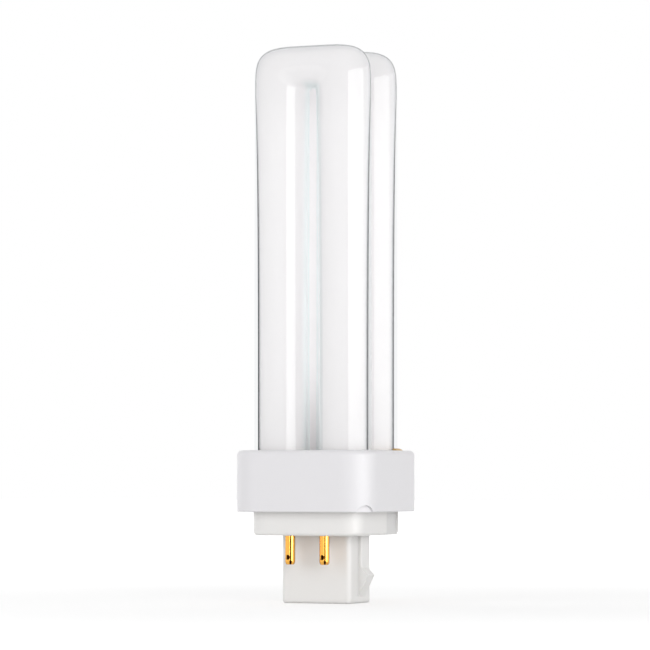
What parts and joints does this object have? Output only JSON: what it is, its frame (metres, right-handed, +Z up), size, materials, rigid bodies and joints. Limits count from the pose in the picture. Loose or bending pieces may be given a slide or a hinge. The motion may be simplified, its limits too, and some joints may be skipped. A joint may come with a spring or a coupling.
{
  "type": "compact fluorescent lamp",
  "caption": "Plug-in compact fluorescent lamp: folded white-coated glass tubes standing in a square collar, over a keyed plug base with side catches and contact pins.",
  "frame": {"origin": "centre of the plug's end face, at the bottom of the lamp", "axes": "+Z up along the tubes, away from the plug; X along each row of pins and across each folded tube; -Y is the front"},
  "size_m": [0.0352, 0.0352, 0.131],
  "materials": {
    "coated_glass": "clear gloss glass with a white powder coat on the inside",
    "collar_plastic": "satin, cool white",
    "base_plastic": "satin, warm white",
    "pin_brass": "polished",
    "lead_wire": "drawn wire",
    "cement": "dull amber, baked"
  },
  "bodies": {
    "root": {"discharge_tube": "coated_glass", "collar": "collar_plastic", "base_cap": "base_plastic", "front_left_pin": "pin_brass", "front_right_pin": "pin_brass", "rear_left_pin": "pin_brass", "rear_right_pin": "pin_brass", "front_left_wire": "lead_wire", "front_right_wire": "lead_wire", "rear_left_wire": "lead_wire", "rear_right_wire": "lead_wire", "basing_cement": "cement"}
  },
  "joints": []
}
